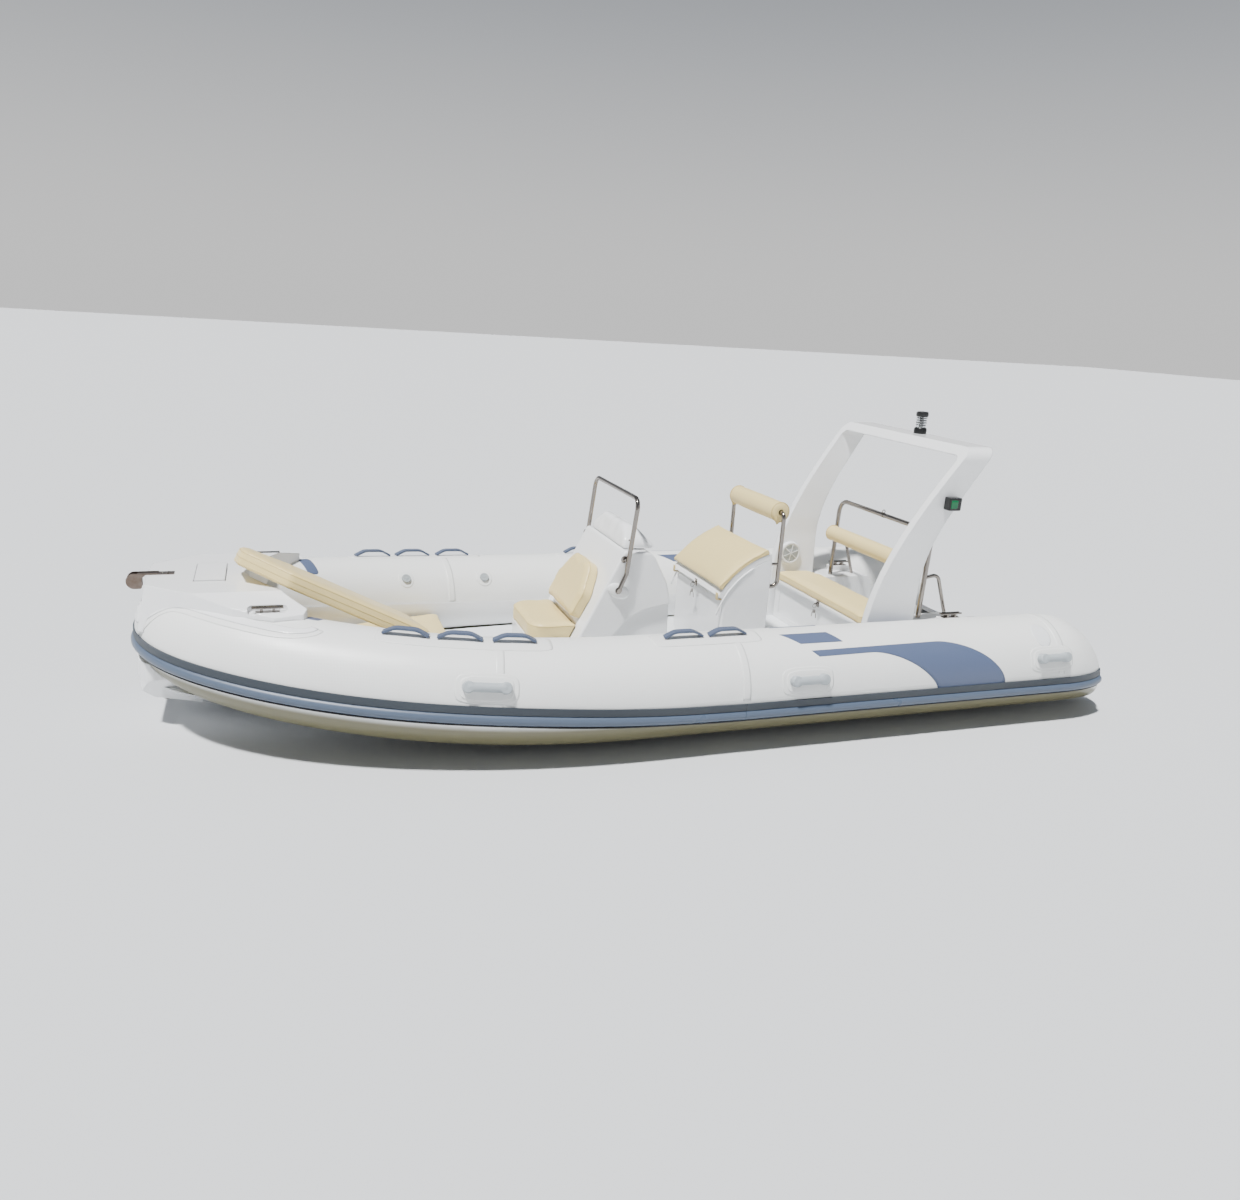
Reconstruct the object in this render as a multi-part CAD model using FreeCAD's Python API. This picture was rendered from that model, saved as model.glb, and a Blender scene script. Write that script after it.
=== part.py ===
import FreeCAD, Part
import math
import os

# Rigid inflatable motorboat: V-bottomed moulded hull inside a horseshoe-shaped air collar.
# Millimetres. +X to the bow, +Y to port, +Z up. The origin lies on the centreline,
# at the waterline, between the tapered stern ends of the collar.

V = FreeCAD.Vector

# Air collar
tubeRadius = 292
tubeSpacing = 955        # centreline of the boat to the centre of each side tube
tubeHeight = 339         # tube centre above the waterline
taperStart = 336         # where the side tubes start to narrow towards the stern
taperTip = -169
taperLead = 200          # the tapered end is blended over this much of the straight tube
bendStart = 3200         # where the straight side tubes start to bend round the bow
bendLength = 2300        # from there to the tube centre at the stem
bowRise = 181            # how much higher the tube centre is at the stem
bowSlim = 17             # how much thinner the tube is at the stem
chamberSeam = 2600       # where the side chambers meet the bow chamber
fabricGap = 1            # between the collar and the mouldings glued to it

# Hull and cockpit
transomFront = 400
transomThickness = 60
transomTop = 345         # outboard motor clamping height
soleTop = 200            # cockpit sole
soleThickness = 20
soleHalfWidth = 690

# Foredeck
deckTop = 820
deckBottom = 575
deckFlare = 45

# Console and seats
consoleHalfWidth = 376
seatHalfWidth = 370
benchHalfWidth = 590
wall = 12                # moulded locker walls

# Stainless tube work
railRadius = 14
hoopRadius = 16


def mirrored(shape):
    return shape.mirror(V(0, 0, 0), V(0, 1, 0))


def pair(shape):
    return Part.makeCompound([shape, mirrored(shape)])


def block(x0, x1, y0, y1, z0, z1):
    return Part.makeBox(x1 - x0, y1 - y0, z1 - z0, V(x0, y0, z0))


def roundedPath(points, radii, closed=False):
    """Straight runs through the points, with a tangent arc at each corner."""
    count = len(points)
    if not isinstance(radii, (list, tuple)):
        radii = [radii] * count
    corners = []
    for i, point in enumerate(points):
        inner = closed or 0 < i < count - 1
        if not inner or radii[i] == 0:
            corners.append((point, None, point))
            continue
        before = (point - points[i - 1]).normalize()
        after = (points[(i + 1) % count] - point).normalize()
        half = before.getAngle(after) / 2
        setback = radii[i] * math.tan(half)
        towards = (after - before).normalize()
        middle = point + towards * (radii[i] / math.cos(half) - radii[i])
        corners.append((point - before * setback, middle, point + after * setback))
    edges = []
    for i, (start, middle, end) in enumerate(corners):
        if middle is not None:
            edges.append(Part.Arc(start, middle, end).toShape())
        if i + 1 < count or closed:
            following = corners[(i + 1) % count][0]
            if end.distanceToPoint(following) > 1e-6:
                edges.append(Part.makeLine(end, following))
    return Part.Wire(edges)


def prism(points, radii, toWorld, travel):
    """A rounded outline, placed by toWorld and pushed along travel."""
    outline = roundedPath([toWorld(a, b) for a, b in points], radii, closed=True)
    return Part.Face(outline).extrude(travel)


def sidePrism(points, radii, y0, y1):
    return prism(points, radii, lambda x, z: V(x, y0, z), V(0, y1 - y0, 0))


def planPrism(points, radii, z0, z1):
    return prism(points, radii, lambda x, y: V(x, y, z0), V(0, 0, z1 - z0))


def crossPrism(points, radii, x0, x1):
    return prism(points, radii, lambda y, z: V(x0, y, z), V(x1 - x0, 0, 0))


def symmetric(half):
    """Close an outline that is given for the port side, from the centreline to the centreline."""
    return half + [(x, -y) for x, y in reversed(half) if y > 0]


def bentTube(points, bend, radius):
    path = roundedPath(points, bend)
    section = Part.Wire(Part.makeCircle(radius, points[0], points[1] - points[0]))
    return path.makePipeShell([section], True, False)


def rod(start, end, radius):
    return Part.makeCylinder(radius, start.distanceToPoint(end), start, end - start)


# ---------------------------------------------------------------- collar

# A station is the tube's centre, its outboard and upward directions, its radius
# and the height that the strips along it keep to.

def collarStation(turn):
    """Tube round the bow, from port (0) over the stem (90) to starboard (180)."""
    s, c = math.sin(math.radians(turn)), math.cos(math.radians(turn))
    centre = V(bendStart + bendLength * s, tubeSpacing * c, tubeHeight + bowRise * s * s)
    along = V(bendLength * c, -tubeSpacing * s, 2 * bowRise * s * c).normalize()
    outboard = V(0, 0, 1).cross(along).normalize()
    level = centre.z + stripRise(centre.x)
    return centre, outboard, along.cross(outboard), tubeRadius - bowSlim * s * s, level


def straightStation(x, side=1):
    level = tubeHeight + stripRise(x)
    return V(x, side * tubeSpacing, tubeHeight), V(0, side, 0), V(0, 0, 1), tubeRadius, level


def stripRise(x):
    """The rubbing strips climb on the tube from the seam towards the bow."""
    t = min(max((x - chamberSeam) / 1500, 0), 1)
    return 52 * t * t * (3 - 2 * t)


def taperStation(turn):
    """Port stern end, from full size (0) to the tip (90). Its underside stays level."""
    radius = tubeRadius * math.cos(math.radians(turn))
    x = taperStart - (taperStart - taperTip) * math.sin(math.radians(turn))
    centre = V(x, tubeSpacing, tubeHeight - tubeRadius + radius)
    return centre, V(0, 1, 0), V(0, 0, 1), radius, tubeHeight


def bowStations():
    """Down the port side from the seam, round the bow and back along the starboard side."""
    leadIn = [chamberSeam, (chamberSeam + bendStart) / 2]
    stations = [straightStation(x) for x in leadIn]
    stations += [collarStation(turn) for turn in range(0, 181, 15)]
    return stations + [straightStation(x, -1) for x in reversed(leadIn)]


def sternStations(turns):
    lead = [straightStation(taperStart + taperLead), straightStation(taperStart + taperLead / 2)]
    return lead + [taperStation(turn) for turn in turns]


def polar(station, rise, angle):
    """A point over the tube's skin: 0 degrees is outboard, 90 is the crown, 180 is inboard."""
    centre, outboard, up, radius = station[:4]
    a = math.radians(angle)
    return centre + (outboard * math.cos(a) + up * math.sin(a)) * (radius + rise)


def levelAngle(station, angle):
    """The angle that keeps a strip at its own height where the tube is thinner."""
    centre, radius, height = station[0], station[3], station[4]
    drop = height + tubeRadius * math.sin(math.radians(angle)) - centre.z
    return math.degrees(math.asin(drop / radius))


def circleSection(rise):
    def wire(station):
        ring = [polar(station, rise, angle) for angle in (0, 90, 180, 270)]
        upper = Part.Arc(ring[0], ring[1], ring[2]).toShape()
        lower = Part.Arc(ring[2], ring[3], ring[0]).toShape()
        return Part.Wire([upper, lower])
    return wire


def wrapWire(station, inner, outer, low, high):
    middle = (low + high) / 2
    i0, i1, i2 = (polar(station, inner, a) for a in (low, middle, high))
    o0, o1, o2 = (polar(station, outer, a) for a in (high, middle, low))
    return Part.Wire([Part.Arc(i0, i1, i2).toShape(), Part.makeLine(i2, o0),
                      Part.Arc(o0, o1, o2).toShape(), Part.makeLine(o2, i0)])


def bandSection(inner, outer, low, high):
    """A flat strip along the outer side of the tube."""
    def wire(station):
        return wrapWire(station, inner, outer, levelAngle(station, low), levelAngle(station, high))
    return wire


def beadSection(inner, low, high, height):
    """A half-round bead along the outer side of the tube."""
    def wire(station):
        start, end = levelAngle(station, low), levelAngle(station, high)
        i0, i1, i2 = (polar(station, inner, a) for a in (start, (start + end) / 2, end))
        top = polar(station, fabricGap + height, (start + end) / 2)
        return Part.Wire([Part.Arc(i0, i1, i2).toShape(), Part.Arc(i2, top, i0).toShape()])
    return wire


def linerSection(inner, outer):
    """The upstand reaches from the cockpit sole to just above the middle of the tube."""
    def wire(station):
        drop = min((station[0].z - soleTop - 14) / station[3], math.sin(math.radians(55)))
        return wrapWire(station, inner, outer, 172, 180 + math.degrees(math.asin(drop)))
    return wire


def alongBow(section):
    return Part.makeLoft([section(station) for station in bowStations()], True, False)


def alongSide(section, x0, x1):
    return Part.Face(section(straightStation(x0))).extrude(V(x1 - x0, 0, 0))


def bowCutter():
    return alongBow(circleSection(fabricGap))


def bowStrip(section):
    """The strip's section starts inside the tube. The tube's own shape then trims its back."""
    strip = alongBow(section).cut(bowCutter())
    return max(strip.Solids, key=lambda solid: solid.Volume)


def sideTube():
    barrel = alongSide(circleSection(0), taperStart + taperLead, chamberSeam)
    rings = [circleSection(0)(station) for station in sternStations(range(0, 81, 10))]
    tip = Part.Vertex(V(taperTip, tubeSpacing, tubeHeight - tubeRadius))
    return Part.makeLoft(rings + [tip], True, False).fuse(barrel).removeSplitter()


bite = 6                 # how far a strip's rough back reaches into the tube
stripGap = 2             # between the strips of two chambers
stripEnd = 47            # where the strips end on the tapered stern, degrees of taper


def strips(makeSection):
    """Three lengths of strip: round the bow and down each side."""
    side = alongSide(makeSection(fabricGap), taperStart + taperLead, chamberSeam - stripGap)
    stern = [makeSection(fabricGap)(station) for station in sternStations([*range(0, 41, 10), stripEnd])]
    side = side.fuse(Part.makeLoft(stern, True, False)).removeSplitter()
    return Part.makeCompound([bowStrip(makeSection(-bite)), side, mirrored(side)])


def rubBand():
    return strips(lambda inner: bandSection(inner, 10, -13, -5))


def rubBead():
    return strips(lambda inner: beadSection(inner, -25.5, -13.4, 27))


def sideLiner():
    """The moulded upstand between the cockpit sole and the tube."""
    side = alongSide(linerSection(fabricGap, 9), transomFront + 2, chamberSeam - stripGap)
    return Part.makeCompound([bowStrip(linerSection(-bite, 9)), side, mirrored(side)])


# ---------------------------------------------------------------- hull

keelDepth = 300          # below the waterline
stemHeight = 150         # keel line at the stem, above the waterline
hullBend = 2600          # where the bottom starts to rise and narrow
hullLength = 5700
chineHalfWidth = 695
chineHeight = 45


def hullSection(x, turn):
    """V section of the bottom. Turn runs from 0, amidships, to 90 degrees at the stem."""
    u, c = math.sin(math.radians(turn)), math.cos(math.radians(turn))
    keel = -keelDepth + (keelDepth + stemHeight) * u ** 3
    chine = (50 + (chineHalfWidth - 50) * c, chineHeight + 180 * u ** 2)
    side = (chine[0] + 5 + 20 * u, soleTop - soleThickness - 2 + 62 * u ** 8)
    points = [V(x, y, z) for y, z in [(0, keel), chine, side, (-side[0], side[1]), (-chine[0], chine[1])]]
    return Part.makePolygon(points + points[:1])


def hull():
    straight = [hullSection(x, 0) for x in (transomFront, 1130, 1870)]
    bent = [hullSection(hullBend + (hullLength - hullBend) * math.sin(math.radians(turn)), turn)
            for turn in range(0, 91, 10)]
    bottom = Part.makeLoft(straight + bent, True, False)
    return bottom.fuse(stemCap()).removeSplitter()


def stemCap():
    """The bow of the hull curves up under the nose of the tube and backs it."""
    profile = sidePrism([(5450, 70), (5690, 148), (5752, 223), (5776, 345), (5776, 385), (5500, 385),
                         (5450, 200)], [0, 60, 90, 30, 0, 0, 0], -300, 300)
    plan = planPrism(symmetric([(5450, 262), (5700, 262), (5747, 184), (5776, 60)]),
                     [0, 60, 90, 60, 60, 90, 60, 0], 0, 500)
    vee = crossPrism([(-60, 60), (60, 60), (262, 290), (262, 400), (-262, 400), (-262, 290)], 0, 5400, 5900)
    cap = profile.common(plan).common(vee).cut(bowCutter())
    return max(cap.Solids, key=lambda solid: solid.BoundBox.XMax)


def transom():
    half = [(0, -keelDepth), (chineHalfWidth, chineHeight), (700, 178), (652, 300), (652, 430), (330, 430),
            (270, transomTop)]
    points = half + [(-y, z) for y, z in reversed(half) if y > 0]
    return crossPrism(points, 0, transomFront - transomThickness, transomFront)


def cockpitSole():
    half = [(transomFront, 0), (transomFront, soleHalfWidth), (3350, soleHalfWidth), (4000, 625), (4400, 545)]
    return planPrism(symmetric(half[1:]), 0, soleTop - soleThickness + 2, soleTop)


def engineWell():
    tray = block(transomFront, 1090, -475, 475, soleTop, 330)
    return tray.cut(block(transomFront - 1, 900, -400, 400, 245, 400))


cleatPadTop = 560


def quarterBoxes():
    """Moulded boxes beside the engine well that carry the hoop and the stern cleats."""
    shell = sidePrism([(660, soleTop), (1095, soleTop), (1095, 525), (700, 525), (660, 440)],
                      [0, 0, 25, 40, 30], 480, 800)
    shell = shell.fuse(block(770, 930, 652, 728, 500, cleatPadTop))
    return pair(shell.cut(alongSide(circleSection(10), 0, 1400)))


# ---------------------------------------------------------------- foredeck

deckOutline = [(5200, 0), (5175, 110), (5075, 310), (4960, 500), (4885, 595), (4905, 635), (5050, 650),
               (5250, 565), (5420, 450), (5570, 330), (5690, 225), (5700, 0)]


def deckWire(height, flare):
    """The deck edge at one height. It spreads over the tube towards the bottom."""
    points = []
    for x, y in deckOutline:
        outer = y > 560 or x > 5240
        spread = flare if outer else 0
        points.append((x + (spread if x > 5600 else 0), y + (spread if y > 0 and outer else 0)))
    ring = points + [(x, -y) for x, y in reversed(points) if y > 0]
    return roundedPath([V(x, y, height) for x, y in ring], 0, closed=True)


def cleatDish():
    """Shallow recess that keeps the mooring cleat below the deck line."""
    x, y, reach, half = cleatPlace.x, cleatPlace.y, 98, 36
    return planPrism([(x - reach, y - half), (x + reach, y - half), (x + reach, y + half),
                      (x - reach, y + half)], 30, cleatPlace.z - 0.3, deckTop + 10)


def bowDeck():
    body = Part.makeLoft([deckWire(deckBottom, deckFlare), deckWire(deckTop, 0)], True, True)
    body = body.cut(bowCutter())
    slope = crossPrism([(420, deckTop), (640, 757), (700, 715), (760, 660), (800, 900), (420, 900)],
                       [0, 200, 60, 0, 0, 0], 4700, 5900)
    body = body.cut([slope, mirrored(slope), cleatDish(), mirrored(cleatDish())])
    ledge = block(lockerAft - 5, lockerFront + 5, -lockerHalf - 5, lockerHalf + 5, deckTop - 22, deckTop + 1)
    pocket = block(lockerAft + 20, lockerAft + 85, -lockerHalf + 30, lockerHalf - 30, 640, deckTop)
    body = body.cut([ledge, pocket])
    return max(body.Solids, key=lambda solid: solid.Volume)


cleatPlace = V(5080, 588, 752)
lockerAft = 5295
lockerFront = 5450
lockerHalf = 185


def lockerLid():
    return block(lockerAft, lockerFront, -lockerHalf, lockerHalf, deckTop - 21, deckTop + 6)


rollerAxle = V(5761, 0, 785)


def rollerBracket():
    base = block(5560, 5745, -30, 30, deckTop + 0.3, deckTop + 4)
    cheek = sidePrism([(5640, deckTop + 1), (5640, 828), (5803, 828), (5803, 742), (5724, 742), (5724, 800),
                       (5700, deckTop + 1)], [0, 0, 42, 42, 12, 12, 0], 24, 28)
    pin = rod(rollerAxle - V(0, 29, 0), rollerAxle + V(0, 29, 0), 5)
    return base.fuse([cheek, mirrored(cheek), pin]).removeSplitter()


def rollerWheel():
    rim = rod(rollerAxle - V(0, 19, 0), rollerAxle + V(0, 19, 0), 32)
    groove = Part.makeTorus(37, 12, rollerAxle, V(0, 1, 0))
    bore = rod(rollerAxle - V(0, 25, 0), rollerAxle + V(0, 25, 0), 5.05)
    return rim.cut([groove, bore])


def cleat(x, y, z):
    """Two-bar deck cleat with a base plate, its bars lying fore and aft."""
    plate = block(x - 60, x + 60, y - 20, y + 20, z, z + 5)
    parts = []
    for step in (-12, 12):
        parts.append(rod(V(x - 78, y + step, z + 28), V(x + 78, y + step, z + 28), 6))
    for post in (-30, 30):
        parts.append(block(x + post - 7, x + post + 7, y - 18, y + 18, z + 4, z + 28))
    return plate.fuse(parts)


def towEye():
    """U-bolt in the stem, under the collar."""
    ring = Part.makeTorus(34, 7, V(5640, 0, 118), V(0, 1, 0))
    return max(ring.cut(hull()).Solids, key=lambda solid: solid.Volume)


# ---------------------------------------------------------------- bow seating

def bowPlatform():
    half = [(4010, 590), (4300, 525), (4600, 425), (4900, 265), (5060, 140)]
    return planPrism(symmetric(half), 0, soleTop + 0.3, 290)


def bowCushionAft():
    half = [(4010, 585), (4280, 525), (4400, 485)]
    return planPrism(symmetric(half), [30, 30, 15, 15, 30, 30], 290.5, 345)


def bowCushionForward():
    half = [(4406, 482), (4600, 412), (4900, 252), (5045, 130)]
    return planPrism(symmetric(half), [15, 30, 30, 30, 30, 30, 30, 15], 290.5, 345)


def looseCushion():
    """Infill cushion lying askew, from the port side of the foredeck down into the well."""
    outline = [(-580, -300), (260, -300), (540, -120), (540, 120), (260, 300), (-580, 300)]
    pad = planPrism(outline, [40, 90, 50, 50, 90, 40], -looseThickness, 0)
    pitch = FreeCAD.Rotation(V(0, 1, 0), -26.8)
    roll = FreeCAD.Rotation(V(1, 0, 0), 9.6)
    pad.Placement = FreeCAD.Placement(looseTop, pitch.multiply(roll))
    return pad


looseThickness = 88
looseTop = V(4737, 142, 755)     # a point on its upper face, 540 behind its nose


# ---------------------------------------------------------------- console

consoleFace = [(3425, soleTop + 0.3), (3335, 410), (3050, 977), (2880, 965), (2845, 933), (2760, 779),
               (2732, 674), (2725, 425), (2720, soleTop + 0.3)]
faceLean = math.degrees(math.atan2(3335 - 3050, 977 - 410))


def console():
    shell = sidePrism(consoleFace, [0, 120, 22, 22, 40, 60, 60, 30, 0], -consoleHalfWidth, consoleHalfWidth)
    corners = [edge for edge in shell.Edges if edge.BoundBox.YLength < 1 and edge.BoundBox.ZMax > 300]
    shell = shell.makeFillet(14, corners)
    recess = [(2600, 640), (2760, 635), (2900, 610), (3010, 545), (3110, 430), (3170, 290), (3175, 150),
              (2600, 150)]
    cut = sidePrism(recess, [0, 60, 150, 150, 150, 60, 0, 0], consoleHalfWidth - 24, consoleHalfWidth + 50)
    boss = rod(V(3085, consoleHalfWidth - 5, 742), V(3085, consoleHalfWidth + 12, 742), 36)
    shell = shell.cut([cut, mirrored(cut)])
    return shell.fuse([boss, mirrored(boss)]).removeSplitter()


def dashCowl():
    """Moulded instrument cowl on top of the console."""
    side = sidePrism([(3040, 965), (3030, 1020), (2995, 1118), (2930, 1090), (2850, 1010), (2825, 965)],
                     [0, 30, 30, 60, 40, 0], -320, 320)
    front = crossPrism([(-310, 978), (-300, 1030), (-170, 1125), (170, 1125), (300, 1030), (310, 978)],
                       [0, 60, 80, 80, 60, 0], 2700, 3100)
    return side.common(front).cut(console())


railHalf = 404


def consoleRail():
    half = [V(3086, railHalf, 742), V(3042, railHalf, 845), V(2992, railHalf, 1300)]
    points = half + [V(p.x, -p.y, p.z) for p in reversed(half)]
    hoop = bentTube(points, [0, 110, 62, 62, 110, 0], railRadius)
    foot = rod(V(3086, consoleHalfWidth + 12.3, 742), V(3086, railHalf + railRadius, 742), 15)
    clamp = rod(V(3031, consoleHalfWidth + 0.2, 945), V(3031, railHalf, 945), 9)
    return hoop.fuse([foot, mirrored(foot), clamp, mirrored(clamp)])


def frontSeatBase():
    base = planPrism([(3330, -285), (3590, -285), (3590, 285), (3330, 285)], [0, 110, 110, 0],
                     soleTop + 0.3, 402)
    return base.cut(console())


def frontSeatCushion():
    pad = planPrism([(3290, -290), (3600, -290), (3600, 290), (3290, 290)], [0, 120, 120, 0], 402.5, 500)
    # the back edge leans with the console, 4 mm clear of its face
    lean = sidePrism([(3100, 380), (3354, 380), (3289, 510), (3100, 510)], [0] * 4, -400, 400)
    return pad.cut(lean)


def frontBackrest():
    """Pad that leans on the sloping front face of the console."""
    outline = [(-275, 0), (275, 0), (285, 180), (170, 364), (-170, 364), (-285, 180)]
    pad = crossPrism(outline, [30, 30, 90, 110, 110, 90], 0, 72)
    foot = 3335 - (512 - 410) * (3335 - 3050) / (977 - 410)
    pad.Placement = FreeCAD.Placement(V(foot + 1, 0, 512), FreeCAD.Rotation(V(0, 1, 0), -faceLean))
    return pad


wheelCentre = V(2690, 0, 700)
wheelAxis = V(-0.9165, 0, 0.4).normalize()
wheelRadius = 150


def helmShaft():
    boss = rod(wheelCentre - wheelAxis * 92, wheelCentre - wheelAxis * 26, 34)
    shaft = rod(wheelCentre - wheelAxis * 30, wheelCentre + wheelAxis * 4, 9)
    return boss.fuse(shaft).cut(console())


def steeringWheel():
    rim = Part.makeTorus(wheelRadius, 13, wheelCentre, wheelAxis)
    hub = rod(wheelCentre - wheelAxis * 25, wheelCentre + wheelAxis * 14, 32)
    across = V(0, 1, 0)
    downward = wheelAxis.cross(across).normalize()
    spokes = []
    for angle in (90, 210, 330):
        a = math.radians(angle)
        reach = across * math.cos(a) + downward * math.sin(a)
        spokes.append(rod(wheelCentre - wheelAxis * 8 + reach * 20, wheelCentre + reach * wheelRadius, 9))
    bore = rod(wheelCentre - wheelAxis * 26, wheelCentre + wheelAxis * 5, 9.05)
    return hub.fuse([rim] + spokes).cut(bore)


def throttle():
    """Remote control box with its lever, on the starboard side of the helm."""
    body = block(2690, 2775, -345, -285, 700, 800)
    lever = rod(V(2725, -315, 790), V(2700, -315, 905), 8)
    knob = Part.makeSphere(20, V(2697, -315, 915))
    return body.fuse([lever, knob]).cut(console())


# ---------------------------------------------------------------- helm seat

seatBack = 2040
seatFront = 2372
archCentre = V(1904, 0, 393)       # the lid is part of a cylinder about this line
seatShellRadius = 527


def sectorPlate(inner, outer, low, high, halfWidth):
    """Curved plate about the seat centre. Angles are measured from straight up, towards the bow."""
    def at(radius, angle):
        a = math.radians(angle)
        return archCentre + V(radius * math.sin(a), -halfWidth, radius * math.cos(a))
    middle = (low + high) / 2
    edges = [Part.Arc(at(inner, low), at(inner, middle), at(inner, high)).toShape(),
             Part.makeLine(at(inner, high), at(outer, high)),
             Part.Arc(at(outer, high), at(outer, middle), at(outer, low)).toShape(),
             Part.makeLine(at(outer, low), at(inner, low))]
    return Part.Face(Part.Wire(edges)).extrude(V(0, 2 * halfWidth, 0))


def helmSeatBase():
    outer = block(seatBack, seatFront, -seatHalfWidth, seatHalfWidth, soleTop + 0.3, 1000)
    inner = block(seatBack + wall, seatFront - wall, -seatHalfWidth + wall, seatHalfWidth - wall,
                  soleTop + wall, 1001)
    crown = Part.makeCylinder(seatShellRadius, 2 * seatHalfWidth + 2, archCentre - V(0, seatHalfWidth + 1, 0),
                              V(0, 1, 0))
    upright = [edge for edge in outer.Edges
               if edge.BoundBox.ZLength > 100 and edge.BoundBox.XMax > seatFront - 1]
    return outer.makeFillet(25, upright).cut(inner).common(crown)


def helmSeatLid():
    return sectorPlate(seatShellRadius + 1, 565, 14.8, 61, seatHalfWidth)


def helmSeatCushion():
    return sectorPlate(565.5, 598, 15.3, 57, 384)


backrestX = 1980
backrestTop = 1195


def helmBackrestFrame():
    half = [V(seatBack - 0.3, 355, 720), V(backrestX, 355, 720), V(backrestX, 355, backrestTop)]
    points = half + [V(p.x, -p.y, p.z) for p in reversed(half)]
    hoop = bentTube(points, [0, 40, 38, 38, 40, 0], railRadius)
    stay = rod(V(seatBack - 0.3, 355, 868), V(backrestX, 355, 868), 9)
    return hoop.fuse([stay, mirrored(stay)])


def bolster(x, z, radius, halfLength, tubeBore):
    """Round back cushion threaded on a stainless tube."""
    roll = rod(V(x, -halfLength, z), V(x, halfLength, z), radius)
    roll = roll.makeFillet(radius * 0.3, [edge for edge in roll.Edges if edge.BoundBox.YLength < 1])
    if tubeBore:
        roll = roll.cut(rod(V(x, -halfLength - 1, z), V(x, halfLength + 1, z), tubeBore))
    return roll


# ---------------------------------------------------------------- stern bench

benchFront = 1440
benchBack = 1125
benchTop = 480


def benchBase():
    outer = block(benchBack, benchFront, -benchHalfWidth, benchHalfWidth, soleTop + 0.3, benchTop)
    inner = block(benchBack + wall, benchFront - wall, -benchHalfWidth + wall, benchHalfWidth - wall,
                  soleTop + wall, benchTop + 1)
    panel = block(benchFront - 4, benchFront + 1, -benchHalfWidth + 70, benchHalfWidth - 70, 240, 420)
    return outer.cut([inner, panel])


def benchLid():
    half = benchHalfWidth + 2
    return block(benchBack, benchFront + 25, -half, half, benchTop + 1, benchTop + 22)


def benchCushion():
    half = [(benchBack + 2, 455), (benchBack + 80, 586), (benchFront + 32, 586)]
    return planPrism(symmetric(half), [20, 30, 35, 35, 30, 20], benchTop + 22.5, benchTop + 80)


hoopX = 985
hoopHalf = 555


def sternHoop():
    half = [V(hoopX + 15, hoopHalf, 510), V(hoopX, hoopHalf, 1105)]
    hoop = bentTube(half + [V(p.x, -p.y, p.z) for p in reversed(half)], [0, 90, 90, 0], hoopRadius)
    brace = bentTube([V(hoopX + 8, hoopHalf + 4, 800), V(900, hoopHalf + 12, 822),
                      V(790, hoopHalf + 20, 510)],
                     [0, 45, 0], 12)
    below = block(700, 1100, -700, 700, 400, 525.3)
    return hoop.fuse([brace, mirrored(brace)]).cut(below)


def benchBolster():
    return bolster(hoopX + hoopRadius + 64, 870, 57, 500, 0)


# ---------------------------------------------------------------- arch

archTop = 1680


def splineEdge(points, toWorld):
    curve = Part.BSplineCurve()
    curve.interpolate([toWorld(a, b) for a, b in points])
    return curve.toShape()


def archSide():
    """Side view of the raked arch, pushed across the boat."""
    front = [(1480, 480), (1400, 860), (1250, 1180), (1085, 1440), (900, archTop + 20)]
    back = [(715, archTop + 20), (905, 1390), (1065, 1090), (1125, 800)]
    place = lambda x, z: V(x, -900, z)
    lower = [place(1125, 800), place(1120, soleTop + 0.3), place(1480, soleTop + 0.3), place(1480, 480)]
    edges = [splineEdge(front, place), Part.makeLine(place(*front[-1]), place(*back[0])),
             splineEdge(back, place)]
    edges += [Part.makeLine(a, b) for a, b in zip(lower, lower[1:])]
    return Part.Face(Part.Wire(edges)).extrude(V(0, 1800, 0))


def archPortal():
    """Front view: two legs that lean outward and the beam across them."""
    outer = [(662, 0), (662, 440), (728, archTop), (-728, archTop), (-662, 440), (-662, 0)]
    inner = [(604, -10), (604, 440), (668, archTop - 60), (-668, archTop - 60), (-604, 440), (-604, -10)]
    portal = crossPrism(outer, [0, 200, 75, 75, 200, 0], 600, 1600)
    return portal.cut(crossPrism(inner, [0, 200, 40, 40, 200, 0], 599, 1601))


def arch():
    beside = alongSide(circleSection(10), 0, chamberSeam)
    return archSide().common(archPortal()).cut([beside, mirrored(beside)])


def sideLights():
    lamp = block(965, 1055, 708, 770, 1290, 1372)
    lamp = lamp.makeFillet(8, lamp.Edges)
    return pair(lamp.cut(arch()))


def topLight():
    x = 780
    base = rod(V(x, 0, archTop + 0.3), V(x, 0, archTop + 25), 42)
    lens = rod(V(x, 0, archTop + 24), V(x, 0, archTop + 120), 34)
    cap = rod(V(x, 0, archTop + 110), V(x, 0, archTop + 150), 44)
    return base.fuse([lens, cap]).removeSplitter()


def speakers():
    x, z = 1340, 690
    ring = rod(V(x, 600, z), V(x, 650, z), 84)
    return pair(ring.cut(arch()))


# ---------------------------------------------------------------- fittings on the collar

def onTube(x):
    """Centre of the side tube and its directions at a distance from the stern, port side."""
    if x <= bendStart:
        return straightStation(x, 1)
    return collarStation(math.degrees(math.asin((x - bendStart) / bendLength)))


def strapHandle(x, angle):
    """Arched carry handle across a patch on the inner shoulder of the tube."""
    ends = [polar(onTube(x + step), 9, angle) for step in (-115, 115)]
    shoulders = [polar(onTube(x + step), 40, angle) for step in (-55, 55)]
    path = roundedPath([ends[0], shoulders[0], shoulders[1], ends[1]], [0, 90, 90, 0])
    across = onTube(x)[1]
    start = shoulders[0] - ends[0]
    up = across.cross(start).normalize()
    corners = [ends[0] + across * a + up * b for a, b in ((-21, -6), (21, -6), (21, 6), (-21, 6))]
    section = Part.Wire(Part.makePolygon(corners + corners[:1]))
    return path.makePipeShell([section], True, False)


def carryHandles():
    return [strapHandle(x, 84) for x in (4425, 4150, 3865, 2900, 2630)]


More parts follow.
